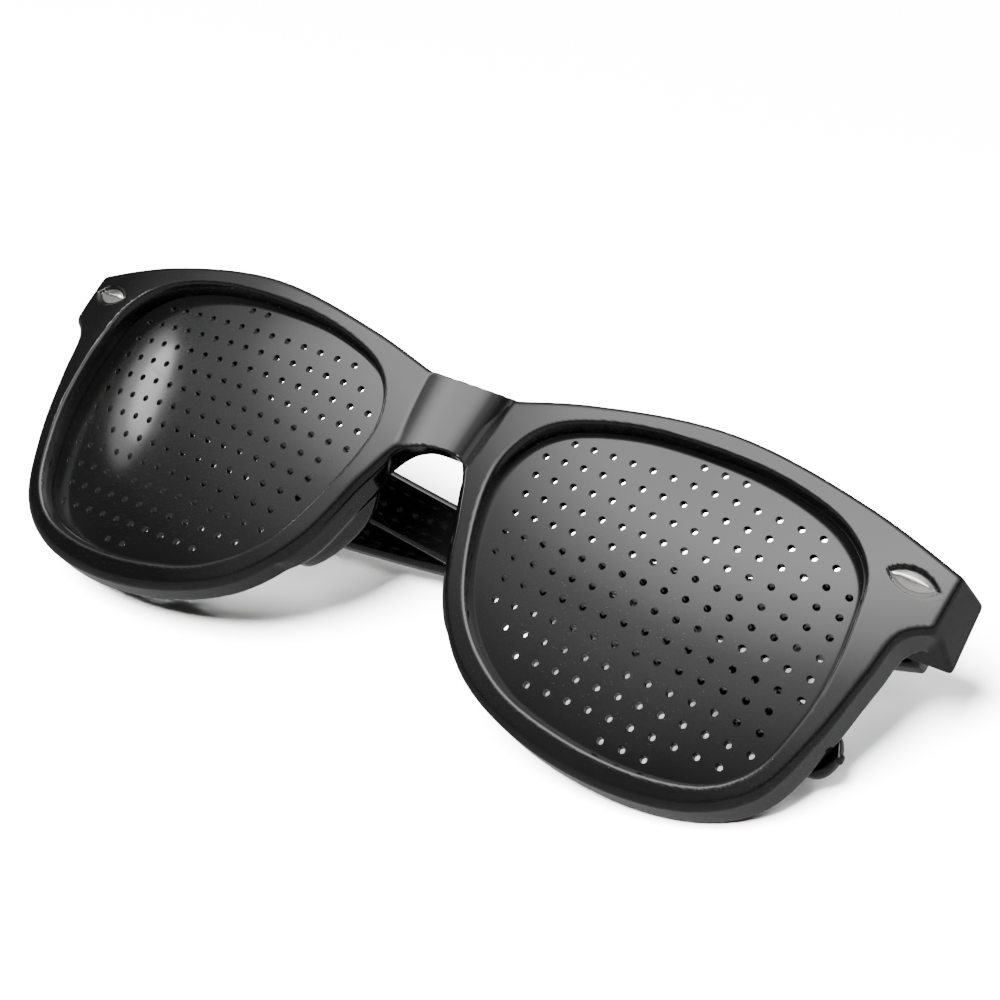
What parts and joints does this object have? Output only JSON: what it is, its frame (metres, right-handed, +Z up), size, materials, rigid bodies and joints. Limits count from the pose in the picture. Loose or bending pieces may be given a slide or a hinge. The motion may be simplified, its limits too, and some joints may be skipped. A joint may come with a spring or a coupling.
{
  "type": "pinhole glasses",
  "caption": "Folding pinhole glasses: a full-rim moulded front, opaque perforated lenses and two hinged temples, lying folded.",
  "frame": {"origin": "middle of the resting footprint's bounding box, on the surface that the folded glasses lie on", "axes": "+X towards the wearer's left, along the front; +Y from the front towards the temples; +Z up from the surface"},
  "size_m": [0.147, 0.0476, 0.0402],
  "materials": {
    "frame_plastic": "polished injection-moulded plastic, black",
    "lens_plastic": "smooth opaque plastic sheet, black, with punched holes",
    "stud_metal": "polished metal inlay",
    "hinge_metal": "stamped and tumbled hinge metal"
  },
  "bodies": {
    "front": {"front_frame": "frame_plastic", "left_lens": "lens_plastic", "right_lens": "lens_plastic", "left_stud": "stud_metal", "right_stud": "stud_metal", "left_front_hinge_leaf": "hinge_metal", "right_front_hinge_leaf": "hinge_metal", "left_hinge_screw": "hinge_metal", "right_hinge_screw": "hinge_metal"},
    "left_temple": {"left_temple": "frame_plastic", "left_temple_hinge_leaf": "hinge_metal"},
    "right_temple": {"right_temple": "frame_plastic", "right_temple_hinge_leaf": "hinge_metal"}
  },
  "joints": [
    {"name": "left_temple_fold", "type": "hinge", "parent": "front", "child": "left_temple", "pos_m": [0.06814, 0.01727, 0.01573], "axis": [-0.0268, -0.7891, -0.6137], "range_deg": [0, 87.8]},
    {"name": "right_temple_fold", "type": "hinge", "parent": "front", "child": "right_temple", "pos_m": [-0.06813, 0.01727, 0.02168], "axis": [0.0268, 0.7891, 0.6137], "range_deg": [0, 92]}
  ]
}
